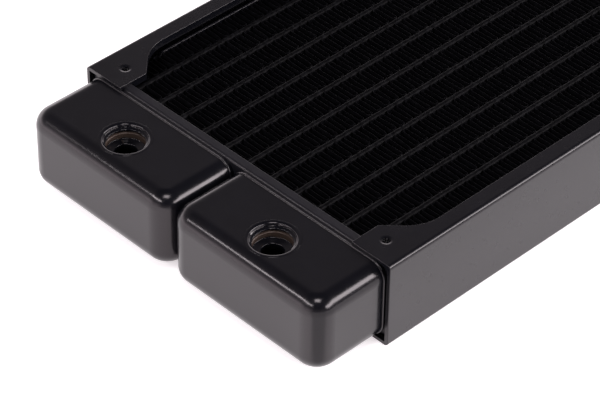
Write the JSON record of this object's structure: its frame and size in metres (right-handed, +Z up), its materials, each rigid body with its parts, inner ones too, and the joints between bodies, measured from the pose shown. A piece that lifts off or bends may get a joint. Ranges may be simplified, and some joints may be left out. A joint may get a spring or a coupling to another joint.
{
  "type": "liquid cooling radiator",
  "caption": "Slim heat exchanger with flat tubes and folded fins between two drilled side rails, threaded ports in separate end tanks, and screw holes for fans on both faces.",
  "frame": {"origin": "centre of the base, under the middle of the whole radiator", "axes": "+X across the width, from the inlet side to the outlet side; +Y along the length, from the port end to the return end; +Z up, from the lower fan face to the upper fan face with the ports"},
  "size_m": [0.1224, 0.2842, 0.0285],
  "materials": {
    "rails": "satin black powder coat, fine texture",
    "headers": "satin black powder coat",
    "tanks": "satin black powder coat, fine texture",
    "port_brass": "machined brass thread, black coat on the rim",
    "tubes": "matt black paint over flat tube",
    "fins": "matt black paint over thin folded fin",
    "side_plates": "satin black paint"
  },
  "bodies": {
    "root": {"side_rail_left": "rails", "side_rail_right": "rails", "header_plate_front": "headers", "header_plate_rear": "headers", "inlet_tank": "tanks", "outlet_tank": "tanks", "return_tank": "tanks", "inlet_port_bushing": "port_brass", "outlet_port_bushing": "port_brass", "coolant_tube_01": "tubes", "coolant_tube_02": "tubes", "coolant_tube_03": "tubes", "coolant_tube_04": "tubes", "coolant_tube_05": "tubes", "coolant_tube_06": "tubes", "coolant_tube_07": "tubes", "coolant_tube_08": "tubes", "coolant_tube_09": "tubes", "coolant_tube_10": "tubes", "centre_spacer_bar": "tubes", "fin_strip_01": "fins", "fin_strip_02": "fins", "fin_strip_03": "fins", "fin_strip_04": "fins", "fin_strip_05": "fins", "fin_strip_06": "fins", "fin_strip_07": "fins", "fin_strip_08": "fins", "fin_strip_09": "fins", "fin_strip_10": "fins", "fin_strip_11": "fins", "fin_strip_12": "fins", "core_side_plate_left": "side_plates", "core_side_plate_right": "side_plates"}
  },
  "joints": []
}
